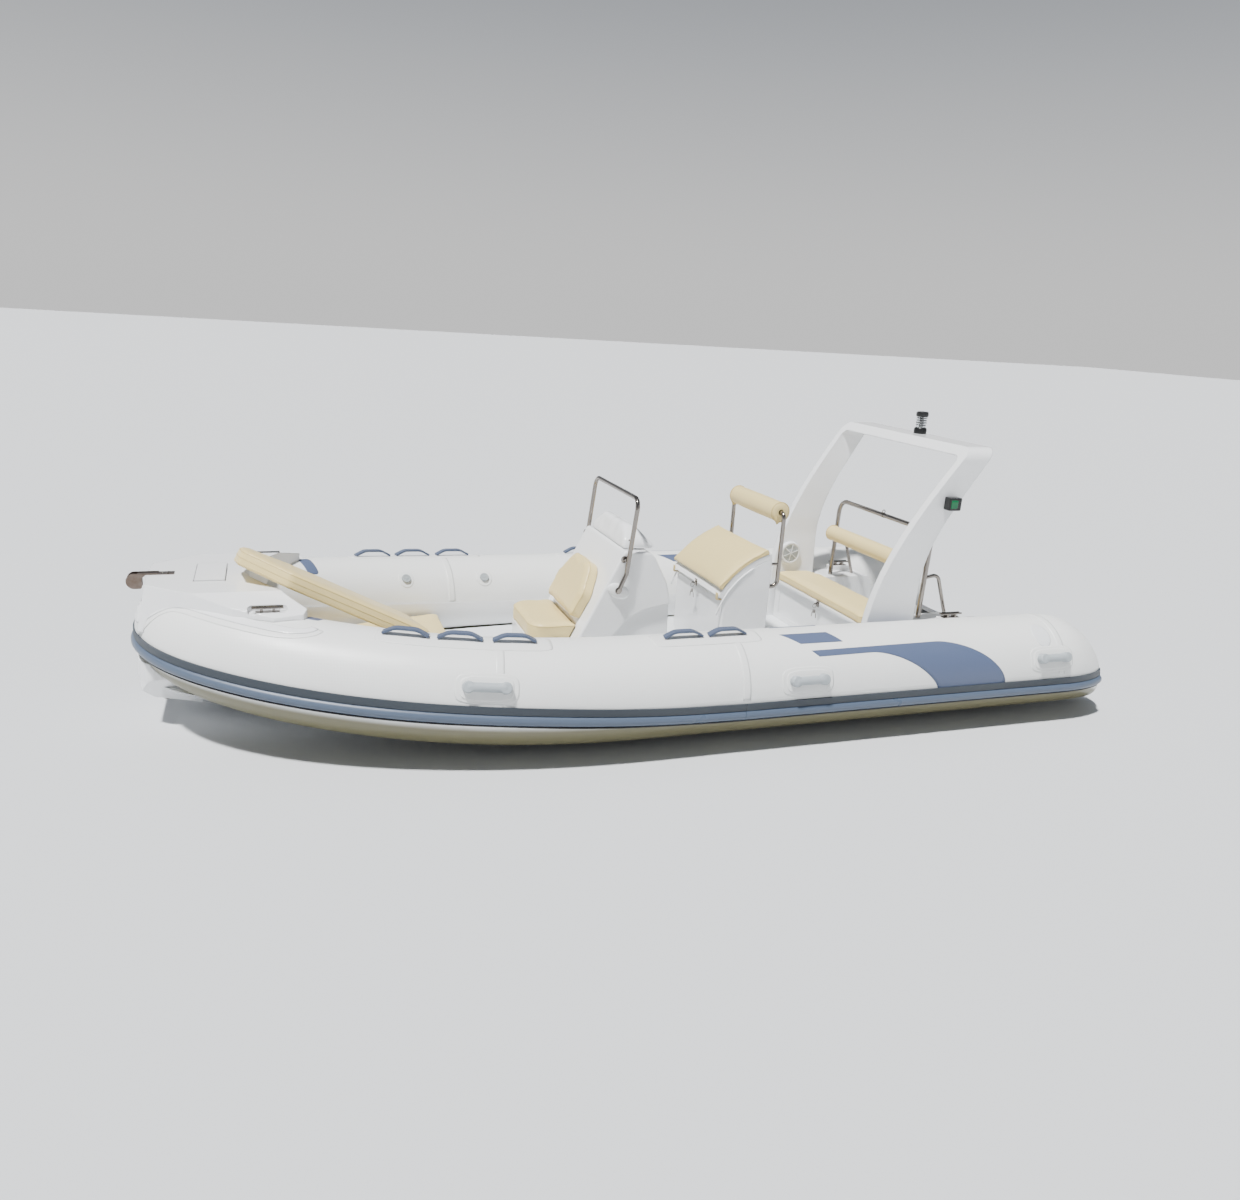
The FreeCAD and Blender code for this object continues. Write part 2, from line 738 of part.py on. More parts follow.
def padHandle(x, angle):
    """Moulded grab handle on a pad on the outer side of the tube: two thick ends and a grip."""
    ends = [onTube(x + step) for step in (-90, 90)]
    lobes = [rod(polar(end, -6, angle), polar(end, 46, angle), 31) for end in ends]
    grip = rod(polar(ends[0], 27, angle), polar(ends[1], 27, angle), 24)
    cutter = alongSide(circleSection(fabricGap), 0, bendStart) if x < bendStart else bowCutter()
    return grip.fuse(lobes).cut(cutter)


def padHandles():
    return [padHandle(x, angle) for x, angle in ((4010, 24), (2215, 16.5), (468, 21))]


def valve(x):
    return rod(polar(onTube(x), 3, 139), polar(onTube(x), 13, 139), 30)


def valves():
    return [valve(x) for x in (4274, 3697)]


def bothSides(shapes):
    return Part.makeCompound(shapes + [mirrored(shape) for shape in shapes])


nodes = {
    "hull": hull,
    "transom": transom,
    "cockpit_sole": cockpitSole,
    "side_liner": sideLiner,
    "engine_well": engineWell,
    "quarter_boxes": quarterBoxes,
    "collar_port": sideTube,
    "collar_starboard": lambda: mirrored(sideTube()),
    "collar_bow": lambda: alongBow(circleSection(0)),
    "rub_band": rubBand,
    "rub_bead": rubBead,
    "bow_deck": bowDeck,
    "anchor_locker_lid": lockerLid,
    "bow_roller_bracket": rollerBracket,
    "bow_roller_wheel": rollerWheel,
    "bow_cleats": lambda: pair(cleat(cleatPlace.x, cleatPlace.y, cleatPlace.z)),
    "stern_cleats": lambda: pair(cleat(850, 690, cleatPadTop + 0.3)),
    "tow_eye": towEye,
    "bow_platform": bowPlatform,
    "bow_cushion_aft": bowCushionAft,
    "bow_cushion_forward": bowCushionForward,
    "bow_loose_cushion": looseCushion,
    "console": console,
    "dash_cowl": dashCowl,
    "console_rail": consoleRail,
    "front_seat_base": frontSeatBase,
    "front_seat_cushion": frontSeatCushion,
    "front_seat_backrest": frontBackrest,
    "helm_shaft": helmShaft,
    "steering_wheel": steeringWheel,
    "throttle_control": throttle,
    "helm_seat_base": helmSeatBase,
    "helm_seat_lid": helmSeatLid,
    "helm_seat_cushion": helmSeatCushion,
    "helm_backrest_frame": helmBackrestFrame,
    "helm_backrest_bolster": lambda: bolster(backrestX, backrestTop, 65, 314, railRadius + 0.5),
    "bench_base": benchBase,
    "bench_lid": benchLid,
    "bench_cushion": benchCushion,
    "stern_hoop": sternHoop,
    "bench_backrest_bolster": benchBolster,
    "arch": arch,
    "side_lights": sideLights,
    "top_light": topLight,
    "arch_speakers": speakers,
    "carry_handles": lambda: bothSides(carryHandles()),
    "grab_handles": lambda: bothSides(padHandles()),
    "inflation_valves": lambda: bothSides(valves()),
}

os.makedirs("parts", exist_ok=True)
for name, build in nodes.items():
    shape = build()
    shape.exportStep("parts/" + name + ".step")
    print(name, len(shape.Solids), shape.isValid(), round(shape.Volume / 1e9, 5))
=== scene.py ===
import bpy, bmesh, math
from mathutils import Matrix, Vector, noise


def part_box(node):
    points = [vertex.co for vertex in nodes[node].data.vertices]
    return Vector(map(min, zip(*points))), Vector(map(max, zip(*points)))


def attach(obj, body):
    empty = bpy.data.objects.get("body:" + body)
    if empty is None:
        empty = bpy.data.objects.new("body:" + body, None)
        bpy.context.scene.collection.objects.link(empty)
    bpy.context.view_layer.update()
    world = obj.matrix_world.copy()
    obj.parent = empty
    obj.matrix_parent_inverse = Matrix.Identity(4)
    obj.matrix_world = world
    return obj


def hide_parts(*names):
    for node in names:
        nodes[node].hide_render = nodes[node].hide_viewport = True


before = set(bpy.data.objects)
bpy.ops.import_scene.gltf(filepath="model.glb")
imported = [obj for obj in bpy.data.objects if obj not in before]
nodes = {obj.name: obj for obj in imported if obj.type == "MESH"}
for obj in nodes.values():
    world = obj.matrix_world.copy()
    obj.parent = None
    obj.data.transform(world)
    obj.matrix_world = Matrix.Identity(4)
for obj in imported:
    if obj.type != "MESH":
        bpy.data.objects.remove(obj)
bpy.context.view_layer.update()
acrossAxis = Vector((0, 1, 0))
upAxis = Vector((0, 0, 1))

# camera, at eye height off the port bow
cameraPlace = dict(spot=(5.0425, 5.6693, 2.3243), yaw=20.51, pitch=16.27, roll=3.64, lens=28.03)


def makeCamera():
    data = bpy.data.cameras.new("camera")
    data.sensor_width, data.lens = 36, cameraPlace["lens"]
    yaw, pitch, roll = (math.radians(cameraPlace[k]) for k in ("yaw", "pitch", "roll"))
    ahead = Vector((-math.sin(yaw) * math.cos(pitch), -math.cos(yaw) * math.cos(pitch), -math.sin(pitch)))
    right = ahead.cross(upAxis).normalized()
    up = right.cross(ahead)
    tiltedRight = math.cos(roll) * right + math.sin(roll) * up
    tiltedUp = math.cos(roll) * up - math.sin(roll) * right
    turn = Matrix((tiltedRight, tiltedUp, -ahead)).transposed().to_4x4()
    camera = bpy.data.objects.new("camera", data)
    bpy.context.collection.objects.link(camera)
    camera.matrix_world = Matrix.Translation(cameraPlace["spot"]) @ turn
    bpy.context.scene.camera = camera


makeCamera()
print("camera is up")


def linear(hexColour):
    parts = [int(hexColour[i:i + 2], 16) / 255 for i in (0, 2, 4)]
    return tuple(p / 12.92 if p <= 0.04045 else ((p + 0.055) / 1.055) ** 2.4 for p in parts) + (1,)


def addNode(tree, kind, inputs=None, **settings):
    node = tree.nodes.new("ShaderNode" + kind)
    for key, value in settings.items():
        setattr(node, key, value)
    for key, value in (inputs or {}).items():
        if isinstance(value, bpy.types.NodeSocket):
            tree.links.new(value, node.inputs[key])
        else:
            node.inputs[key].default_value = value
    return node


def startMaterial(name, colour, roughness, **sockets):
    material = bpy.data.materials.new(name)
    material.use_nodes = True
    tree = material.node_tree
    shader = tree.nodes["Principled BSDF"]
    shader.inputs["Base Color"].default_value = linear(colour)
    shader.inputs["Roughness"].default_value = roughness
    for key, value in sockets.items():
        shader.inputs[key.replace("_", " ")].default_value = value
    return material, tree, shader, addNode(tree, "TexCoord").outputs["Object"]


# studio: a bright pale room, whiter towards the horizon, and a key light high over the bow
studio = dict(floor="CDCFD1", zenith="E4ECF8", horizon="FFFFFF", zenithStrength=0.30, horizonStrength=0.8,
              band=0.45, sun=7.8, sunFrom=(0.45, 0.17, 0.88), sunAngle=4, fill=50, fillSpot=(1, 10, 5), fillSize=6,
              target=(2.8, 0, 0.5))


def makeStudio():
    bm = bmesh.new()
    bmesh.ops.create_grid(bm, x_segments=1, y_segments=1, size=90)
    mesh = bpy.data.meshes.new("floor")
    bm.to_mesh(mesh)
    floor = bpy.data.objects.new("floor", mesh)
    bpy.context.collection.objects.link(floor)
    mesh.materials.append(startMaterial("matt floor paint", studio["floor"], 0.85)[0])
    world = bpy.data.worlds.new("studio")
    bpy.context.scene.world = world
    world.use_nodes = True
    tree = world.node_tree
    ray = addNode(tree, "SeparateXYZ", {"Vector": addNode(tree, "TexCoord").outputs["Generated"]}).outputs["Z"]
    rise = addNode(tree, "MapRange", {"Value": ray, "From Min": 0.02, "From Max": studio["band"],
                                      "To Min": 0.0, "To Max": 1.0},
                   interpolation_type="SMOOTHSTEP").outputs["Result"]
    tint = addNode(tree, "MixRGB", {"Fac": rise, "Color1": linear(studio["horizon"]),
                                    "Color2": linear(studio["zenith"])})
    power = addNode(tree, "MapRange", {"Value": rise, "To Min": studio["horizonStrength"],
                                       "To Max": studio["zenithStrength"]})
    tree.links.new(tint.outputs["Color"], tree.nodes["Background"].inputs["Color"])
    tree.links.new(power.outputs["Result"], tree.nodes["Background"].inputs["Strength"])
    sun = bpy.data.lights.new("sun", "SUN")
    sun.energy, sun.angle = studio["sun"], math.radians(studio["sunAngle"])
    fill = bpy.data.lights.new("fill", "AREA")
    fill.energy, fill.size = studio["fill"], studio["fillSize"]
    for lamp, away in ((sun, Vector(studio["sunFrom"]) * 20), (fill, Vector(studio["fillSpot"]))):
        holder = bpy.data.objects.new(lamp.name, lamp)
        turn = (Vector(studio["target"]) - away).to_track_quat("-Z", "Y").to_matrix().to_4x4()
        holder.matrix_world = Matrix.Translation(away) @ turn
        bpy.context.collection.objects.link(holder)


makeStudio()
print("studio is lit")

# finishes
finish = {}


def moulded(name, colour, roughness, ripple, rippleDepth, **sockets):
    # sprayed or moulded skin: a slow ripple in the gloss, and a trace of uneven tint
    material, tree, shader, place = startMaterial(name, colour, roughness, **sockets)
    slow = addNode(tree, "TexNoise", {"Vector": place, "Scale": 1 / ripple, "Detail": 3.0})
    bump = addNode(tree, "Bump", {"Height": slow.outputs["Fac"], "Strength": 0.6, "Distance": rippleDepth})
    tree.links.new(bump.outputs["Normal"], shader.inputs["Normal"])
    broad = addNode(tree, "TexNoise", {"Vector": place, "Scale": 1.7, "Detail": 5.0})
    spread = addNode(tree, "MapRange", {"Value": broad.outputs["Fac"], "From Min": 0.3, "From Max": 0.7,
                                        "To Min": roughness * 0.8, "To Max": roughness * 1.3})
    tree.links.new(spread.outputs["Result"], shader.inputs["Roughness"])
    paler, darker = linear(colour), tuple(c * 0.93 for c in linear(colour)[:3]) + (1,)
    tint = addNode(tree, "MixRGB", {"Fac": broad.outputs["Fac"], "Color1": paler, "Color2": darker})
    tree.links.new(tint.outputs["Color"], shader.inputs["Base Color"])
    finish[name] = material
    return material, tree, shader, place, bump


def makeGelcoat():
    # polyester gelcoat from a polished mould: hard white gloss with a faint orange peel, no sharp corner
    material, tree, shader, place, bump = moulded("gelcoat", "F1F2F3", 0.16, 0.030, 0.0004, Coat_Weight=0.3,
                                                  Coat_Roughness=0.06)
    corner = addNode(tree, "Bevel", {"Radius": 0.010}, samples=4)
    tree.links.new(corner.outputs["Normal"], bump.inputs["Normal"])
    # the same gelcoat with moulded non-slip pimples, 9 mm apart, on the sole
    material, tree, shader, place, bump = moulded("nonSlipGelcoat", "E3E6E8", 0.35, 0.030, 0.0004)
    pimple = addNode(tree, "TexVoronoi", {"Vector": place, "Scale": 1 / 0.009, "Randomness": 0.0})
    rise = addNode(tree, "MapRange", {"Value": pimple.outputs["Distance"], "From Min": 0.25, "From Max": 0.45,
                                      "To Min": 1.0, "To Max": 0.0})
    tops = addNode(tree, "Bump", {"Height": rise.outputs["Result"], "Strength": 0.8, "Distance": 0.0012,
                                  "Normal": bump.outputs["Normal"]})
    tree.links.new(tops.outputs["Normal"], shader.inputs["Normal"])


def makeCoatedFabric(name, colour, roughness):
    # PVC-coated polyester: satin skin, with the scrim's 2.4 mm threads just showing through (drawn coarse)
    material, tree, shader, place, bump = moulded(name, colour, roughness, 0.12, 0.0012)
    for direction in ("X", "Z"):
        thread = addNode(tree, "TexWave", {"Vector": place, "Scale": 1 / (0.0024 * 20), "Distortion": 0.4},
                         bands_direction=direction)
        bump = addNode(tree, "Bump", {"Height": thread.outputs["Fac"], "Strength": 0.35, "Distance": 0.0003,
                                      "Normal": bump.outputs["Normal"]})
    tree.links.new(bump.outputs["Normal"], shader.inputs["Normal"])


def makeVinyl(name, colour, roughness):
    # expanded vinyl over foam: soft sheen, leather grain 3 mm across (drawn coarse) and slow creases
    material, tree, shader, place, bump = moulded(name, colour, roughness, 0.09, 0.0025, Sheen_Weight=0.08)
    grain = addNode(tree, "TexVoronoi", {"Vector": place, "Scale": 1 / 0.003}, feature="DISTANCE_TO_EDGE")
    skin = addNode(tree, "Bump", {"Height": grain.outputs["Distance"], "Strength": 0.35, "Distance": 0.0006,
                                  "Normal": bump.outputs["Normal"]})
    tree.links.new(skin.outputs["Normal"], shader.inputs["Normal"])


def makeSteel():
    # 316 stainless tube, mirror polished: fine draw marks blur it a little
    material, tree, shader, place = startMaterial("polishedSteel", "8F8983", 0.14, Metallic=1.0)
    marks = addNode(tree, "TexNoise", {"Vector": place, "Scale": 140.0, "Detail": 4.0})
    spread = addNode(tree, "MapRange", {"Value": marks.outputs["Fac"], "To Min": 0.08, "To Max": 0.22})
    tree.links.new(spread.outputs["Result"], shader.inputs["Roughness"])
    bump = addNode(tree, "Bump", {"Height": marks.outputs["Fac"], "Strength": 0.12, "Distance": 0.0002})
    tree.links.new(bump.outputs["Normal"], shader.inputs["Normal"])
    finish["polishedSteel"] = material


def makeWeatheredSteel():
    # the same steel where chain and spray have dulled it: brown tea stain in slow patches
    material, tree, shader, place = startMaterial("weatheredSteel", "7D726A", 0.3, Metallic=1.0)
    patches = addNode(tree, "TexNoise", {"Vector": place, "Scale": 30.0, "Detail": 6.0})
    stain = addNode(tree, "MixRGB", {"Fac": patches.outputs["Fac"], "Color1": linear("8D827A"),
                                     "Color2": linear("5E4C40")})
    tree.links.new(stain.outputs["Color"], shader.inputs["Base Color"])
    bump = addNode(tree, "Bump", {"Height": patches.outputs["Fac"], "Strength": 0.2, "Distance": 0.0003})
    tree.links.new(bump.outputs["Normal"], shader.inputs["Normal"])
    finish["weatheredSteel"] = material


def makeWebbing():
    # polyester webbing: ribs 3 mm apart across the strap
    material, tree, shader, place, bump = moulded("webbing", "4A566E", 0.6, 0.05, 0.0003, Sheen_Weight=0.1)
    ribs = addNode(tree, "TexWave", {"Vector": place, "Scale": 1 / (0.003 * 20)}, bands_direction="X")
    weave = addNode(tree, "Bump", {"Height": ribs.outputs["Fac"], "Strength": 0.7, "Distance": 0.0006,
                                   "Normal": bump.outputs["Normal"]})
    tree.links.new(weave.outputs["Normal"], shader.inputs["Normal"])


def makeLens(name, colour, transmission):
    # clear or dyed acrylic, ribbed inside every 6 mm
    material, tree, shader, place = startMaterial(name, colour, 0.08, Transmission_Weight=transmission,
                                                  IOR=1.49)
    ribs = addNode(tree, "TexWave", {"Vector": place, "Scale": 1 / (0.006 * 20)}, bands_direction="Z")
    bump = addNode(tree, "Bump", {"Height": ribs.outputs["Fac"], "Strength": 0.4, "Distance": 0.0008})
    tree.links.new(bump.outputs["Normal"], shader.inputs["Normal"])
    finish[name] = material


def paintUndersideShade(name, shadeColour, low, high):
    # painted shade and painted reflection: the faces that turn down towards the floor are blended to a flat olive
    # by how far they face down
    tree = finish[name].node_tree
    shader = tree.nodes["Principled BSDF"]
    unshadedColour = shader.inputs["Base Color"].links[0].from_socket
    surface = addNode(tree, "NewGeometry").outputs["Normal"]
    facing = addNode(tree, "SeparateXYZ", {"Vector": surface}).outputs["Z"]
    amount = addNode(tree, "MapRange", {"Value": facing, "From Min": low, "From Max": high, "To Min": 0.0,
                                        "To Max": 1.0}, interpolation_type="SMOOTHSTEP").outputs["Result"]
    shadedColour = addNode(tree, "MixRGB", {"Fac": amount, "Color1": unshadedColour, "Color2": linear(shadeColour)})
    tree.links.new(shadedColour.outputs["Color"], shader.inputs["Base Color"])


makeGelcoat()
makeCoatedFabric("tubeFabric", "ECEDEB", 0.36)
# the tube's underside below the strake gets a painted olive shade and painted reflection
paintUndersideShade("tubeFabric", "6E6A50", -0.30, -0.46)
makeCoatedFabric("seamTape", "E9EAE8", 0.33)
makeCoatedFabric("decalFabric", "525E7A", 0.42)
makeVinyl("creamVinyl", "E3CE90", 0.42)
makeVinyl("weltVinyl", "D3BC7C", 0.45)
makeSteel()
makeWeatheredSteel()
makeWebbing()
makeLens("greenLens", "0B7A4A", 0.35)
makeLens("redLens", "A3121A", 0.35)
makeLens("clearLens", "E9EDF0", 0.85)
moulded("flatRubber", "343B43", 0.5, 0.02, 0.0005)          # extruded rubber, matt band
moulded("beadRubberPaintedHighlight", "505D70", 0.34, 0.05, 0.0006)         # the same extrusion, smooth rounded bead, painted lighter and bluer than the band as a painted highlight
moulded("shadowLineBlack", "15171A", 0.55, 0.01, 0.0003)         # black strip standing in for the painted shadow line under the bead
moulded("gripPlastic", "A6ADB1", 0.38, 0.006, 0.0003)       # moulded grey PVC
moulded("blackPlastic", "0E0F10", 0.3, 0.004, 0.0002)       # moulded black ABS
moulded("whitePlastic", "E6E8EA", 0.3, 0.004, 0.0002)       # moulded white ASA

coverings = {
    "gelcoat": ["hull", "transom", "side_liner", "quarter_boxes", "bow_deck", "anchor_locker_lid",
                "bow_platform", "console", "front_seat_base", "helm_seat_base", "helm_seat_lid", "bench_base",
                "bench_lid", "arch"],
    "nonSlipGelcoat": ["cockpit_sole", "engine_well"],
    "tubeFabric": ["collar_port", "collar_starboard", "collar_bow"],
    "flatRubber": ["rub_band"],
    "beadRubberPaintedHighlight": ["rub_bead"],
    "webbing": ["carry_handles"],
    "gripPlastic": ["inflation_valves"],
    "whitePlastic": ["arch_speakers"],
    "weatheredSteel": ["bow_roller_bracket"],
    "polishedSteel": ["bow_cleats", "stern_cleats", "tow_eye", "console_rail",
                      "helm_backrest_frame", "stern_hoop", "helm_shaft"],
    "blackPlastic": ["bow_roller_wheel", "steering_wheel", "throttle_control", "side_lights", "top_light"],
}
for covering, names in coverings.items():
    for name in names:
        nodes[name].data.materials.clear()
        nodes[name].data.materials.append(finish[covering])
print("finishes are mixed and laid on")


def addPiece(name, bm, material, body="boat", sharp=None):
    for face in bm.faces:
        face.smooth = True
    mesh = bpy.data.meshes.new(name)
    bm.to_mesh(mesh)
    bm.free()
    if sharp:
        mesh.set_sharp_from_angle(angle=math.radians(sharp))
    mesh.materials.append(finish[material])
    piece = bpy.data.objects.new(name, mesh)
    bpy.context.collection.objects.link(piece)
    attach(piece, body)
    return piece


def soften(piece, levels=1):
    rounding = piece.modifiers.new("subdivision", "SUBSURF")
    rounding.levels = rounding.render_levels = levels


# cushions: the foam block of each CAD cushion is skinned, puffed up as cloth and sewn
cushions = {
    "bow_cushion_aft": dict(body="boat", voxel=0.011, cap=0.012, seams=(0.012, -0.012)),
    "bow_cushion_forward": dict(body="boat", voxel=0.011, cap=0.012, seams=(0.012, -0.012)),
    "bow_loose_cushion": dict(body="boat", voxel=0.011, cap=0.012, tilt=(-26.8, 9.6), seams=(0.012, 0, -0.012)),
    "front_seat_cushion": dict(body="boat", voxel=0.009, cap=0.012, seams=(0.012, -0.012)),
    "front_seat_backrest": dict(body="boat", voxel=0.009, cap=0.013, tilt=(63.3, 0), seams=(0.010,)),
    "helm_seat_cushion": dict(body="seat_lid", voxel=0.009, cap=0.008, sideSeams=0.012),
    "bench_cushion": dict(body="bench_seat", voxel=0.011, cap=0.014, seams=(0.012, -0.012)),
}
sewing = dict(shrink=0.003, frames=20, pressure=4.0, crease=0.0012, creaseSize=0.07, welt=0.0026)


def puff(piece, pressure, frames):
    cloth = piece.modifiers.new("cloth", "CLOTH")
    cloth.settings.quality = 5
    cloth.settings.mass = 0.3
    cloth.settings.tension_stiffness = cloth.settings.compression_stiffness = 15
    cloth.settings.bending_stiffness = 0.5
    cloth.settings.use_pressure = True
    cloth.settings.uniform_pressure_force = pressure
    cloth.settings.effector_weights.gravity = 0
    cloth.point_cache.frame_start, cloth.point_cache.frame_end = 1, frames
    for number in range(1, frames + 1):
        bpy.context.scene.frame_set(number)
    blown = piece.evaluated_get(bpy.context.evaluated_depsgraph_get()).to_mesh()
    places = [v.co.copy() for v in blown.vertices]
    piece.modifiers.remove(cloth)
    bpy.context.scene.frame_set(1)
    return places


def loopsAt(bm, spot, normal):
    everything = bm.verts[:] + bm.edges[:] + bm.faces[:]
    cut = bmesh.ops.bisect_plane(bm, geom=everything, plane_co=spot, plane_no=normal)
    edges = {e for e in cut["geom_cut"] if isinstance(e, bmesh.types.BMEdge)}
    loops = []
    while edges:
        edge = edges.pop()
        loop, tip = [edge.verts[0], edge.verts[1]], edge.verts[1]
        while True:
            following = next((e for e in tip.link_edges if e in edges), None)
            if following is None:
                break
            edges.remove(following)
            tip = following.other_vert(tip)
            loop.append(tip)
        loops.append([v.co.copy() for v in loop])
    return loops


def pipe(name, path, radius, material, body, closed=True):
    curve = bpy.data.curves.new(name, "CURVE")
    curve.dimensions, curve.bevel_depth, curve.bevel_resolution, curve.use_fill_caps = "3D", radius, 2, True
    for points in path:
        spline = curve.splines.new("POLY")
        spline.points.add(len(points) - 1)
        for target, spot in zip(spline.points, points):
            target.co = (*spot, 1)
        spline.use_cyclic_u = closed
    holder = bpy.data.objects.new(name + "Path", curve)
    bpy.context.collection.objects.link(holder)
    mesh = bpy.data.meshes.new_from_object(holder.evaluated_get(bpy.context.evaluated_depsgraph_get()))
    bpy.data.objects.remove(holder)
    bm = bmesh.new()
    bm.from_mesh(mesh)
    return addPiece(name, bm, material, body)


def makeCushion(node, body, voxel, cap, seams=(), sideSeams=None, tilt=(0, 0)):
    turn = Matrix.Rotation(math.radians(tilt[0]), 3, "Y") @ Matrix.Rotation(math.radians(tilt[1]), 3, "X")
    thickness = (turn @ upAxis).normalized()
    bm = bmesh.new()
    bm.from_mesh(nodes[node].data)
    bmesh.ops.remove_doubles(bm, verts=bm.verts, dist=1e-5)
    low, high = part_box(node)
    centre = (low + high) / 2
    depths = [(v.co - centre).dot(thickness) for v in bm.verts]
    middle, bottom, top = (min(depths) + max(depths)) / 2, min(depths), max(depths)
    size = high - low
    for vert in bm.verts:
        offset = vert.co - centre
        vert.co = centre + Vector(offset[i] * (1 - 2 * sewing["shrink"] / max(size[i], 0.05)) for i in range(3))
    block = addPiece(node + "_cover", bm, "creamVinyl", body)
    skin = block.modifiers.new("skin", "REMESH")
    skin.mode, skin.voxel_size = "VOXEL", voxel
    block.data = bpy.data.meshes.new_from_object(block.evaluated_get(bpy.context.evaluated_depsgraph_get()))
    block.modifiers.remove(skin)
    start = [v.co.copy() for v in block.data.vertices]
    blown = puff(block, sewing["pressure"], sewing["frames"])
    bm = bmesh.new()
    bm.from_mesh(block.data)
    for vert, before, after in zip(bm.verts, start, blown):
        move = after - before
        if move.length > cap:
            move *= cap / move.length
        vert.co = before + move
    for _ in range(3):
        bmesh.ops.smooth_vert(bm, verts=bm.verts, factor=0.5, use_axis_x=True, use_axis_y=True, use_axis_z=True)
    bm.normal_update()
    for vert in bm.verts:
        crease = noise.noise(vert.co / sewing["creaseSize"]) * sewing["crease"]
        vert.co += vert.normal * crease
        if not sideSeams:   # a flat foam block keeps its flat base
            under = bottom + 0.001 - (vert.co - centre).dot(thickness)
            if under > 0:
                vert.co += thickness * under
    bm.to_mesh(block.data)
    cover = bm.copy()
    bm.free()
    for face in block.data.polygons:
        face.use_smooth = True
    soften(block)
    paths = []
    planes = [(centre + thickness * (top - rise if rise > 0 else bottom - rise if rise < 0 else middle), thickness)
              for rise in seams]
    if sideSeams:
        planes += [(Vector((centre.x, side * (size.y / 2 - sideSeams), centre.z)), acrossAxis)
                   for side in (-1, 1)]
    for spot, normal in planes:
        paths += [loop[:-1] for loop in loopsAt(cover, spot, normal) if len(loop) > 20]
    cover.free()
    if paths:
        welt = pipe(node + "_welt", paths, sewing["welt"], "weltVinyl", body)
        welt.parent = block
    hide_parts(node)
    return block


for node, choices in cushions.items():
    makeCushion(node, **choices)
    print("sewn:", node)

# the inflated collar: a place on its skin is a distance along it and an angle round it
# (0 outboard, 90 crown, 180 inboard); past the stem the distance runs on to the starboard side
collar = dict(radius=0.292, spacing=0.955, height=0.339, keel=0.047, taperStart=0.336, taperReach=0.505,
              bendStart=3.2, bendLength=2.3, rise=0.181, slim=0.017, climb=0.052,
              climbStart=2.6, climbReach=1.5)


def reach(x):
    # distance along the collar for a place on its centre line
    if x <= collar["bendStart"]:
        return x
    past = (x - collar["bendStart"]) / collar["bendLength"]
    return collar["bendStart"] + collar["bendLength"] * math.asin(past)


stemReach = reach(collar["bendStart"] + collar["bendLength"])


def collarAt(along):
    if along <= collar["bendStart"]:
        thin = max(0, (collar["taperStart"] - along) / collar["taperReach"])
        radius = collar["radius"] * math.sqrt(max(0, 1 - thin * thin))
        return Vector((along, collar["spacing"], collar["keel"] + radius)), acrossAxis, upAxis, radius
    turn = (along - collar["bendStart"]) / collar["bendLength"]
    s, c = math.sin(turn), math.cos(turn)
    centre = Vector((collar["bendStart"] + collar["bendLength"] * s, collar["spacing"] * c,
                     collar["height"] + collar["rise"] * s * s))
    ahead = Vector((collar["bendLength"] * c, -collar["spacing"] * s, 2 * collar["rise"] * s * c)).normalized()
    outboard = upAxis.cross(ahead).normalized()
    return centre, outboard, ahead.cross(outboard), collar["radius"] - collar["slim"] * s * s


def onCollar(along, angle, lift=0.0, side=1):
    centre, outboard, up, radius = collarAt(along)
    a = math.radians(angle)
    spot = centre + (outboard * math.cos(a) + up * math.sin(a)) * (radius + lift)
    return Vector((spot.x, spot.y * side, spot.z))


def stripAngle(along, angle):
    # the rubbing strake keeps its own level where the tube rises and thins
    centre, _, _, radius = collarAt(along)
    t = min(max((centre.x - collar["climbStart"]) / collar["climbReach"], 0), 1)
    drop = collar["climb"] * t * t * (3 - 2 * t) + collar["radius"] * math.sin(math.radians(angle))
    if along < collar["taperStart"]:
        drop += collar["height"] - centre.z
    return math.degrees(math.asin(max(-1, min(1, drop / radius))))


def bandAcross(x, half, low, high):
    # a band laid round the tube, from one angle up and over to another
    def place(u, v):
        return reach(x - half + 2 * half * v), low + (high - low) * u
    return place


def roundPatch(x, halfLength, angle, halfAngle, corner=5):
    # a pad with rounded corners; the higher the corner number, the squarer
    def place(u, v):
        a, b = 2 * u - 1, 2 * v - 1
        size = (abs(a) ** corner + abs(b) ** corner) ** (1 / corner)
        pull = max(abs(a), abs(b)) / size if size else 1
        return reach(x) + a * pull * halfLength, angle + b * pull * halfAngle
    return place


def layOn(name, places, material, across=40, around=10, lift=0.0012, sides=(1, -1)):
    # sheets glued to the collar
    bm = bmesh.new()
    for place in places:
        for side in sides:
            made = bmesh.ops.create_grid(bm, x_segments=across, y_segments=around, size=1)["verts"]
            corner = made[0]
            for vert in made:
                vert.co = onCollar(*place((vert.co.x + 1) / 2, (vert.co.y + 1) / 2), lift, side)
            faces = list({face for vert in made for face in vert.link_faces})
            outward = onCollar(*place(0.01, 0.01), 0.05, side) - onCollar(*place(0.01, 0.01), 0, side)
            face = corner.link_faces[0]
            face.normal_update()
            if face.normal.dot(outward) < 0:
                bmesh.ops.reverse_faces(bm, faces=faces)
    piece = addPiece(name, bm, material, sharp=50)
    sheet = piece.modifiers.new("thickness", "SOLIDIFY")
    sheet.thickness, sheet.offset = lift + 0.002, -1
    return piece


# coloured panels bonded to the tubes, outboard and again inboard of the crown
panels = dict(block=dict(low=60, high=78, aft=1.93, length=0.28, lean=0.07, widen=0.03),
              upper=dict(tip=2.16, bend=1.30, foot=0.82, tipAngle=50, crest=52, roundness=1.25),
              lower=dict(tip=2.12, bend=1.76, foot=1.32, tipAngle=42, crest=43, roundness=1.5),
              footAngle=-6, straightShare=0.36, inboardLowest=8)


def blockPlace(u, v):
    # a leaning four-sided panel
    block = panels["block"]
    length = block["length"] + block["widen"] * v
    return (reach(block["aft"] + length * (1 - u) + block["lean"] * v),
            block["low"] + (block["high"] - block["low"]) * v)


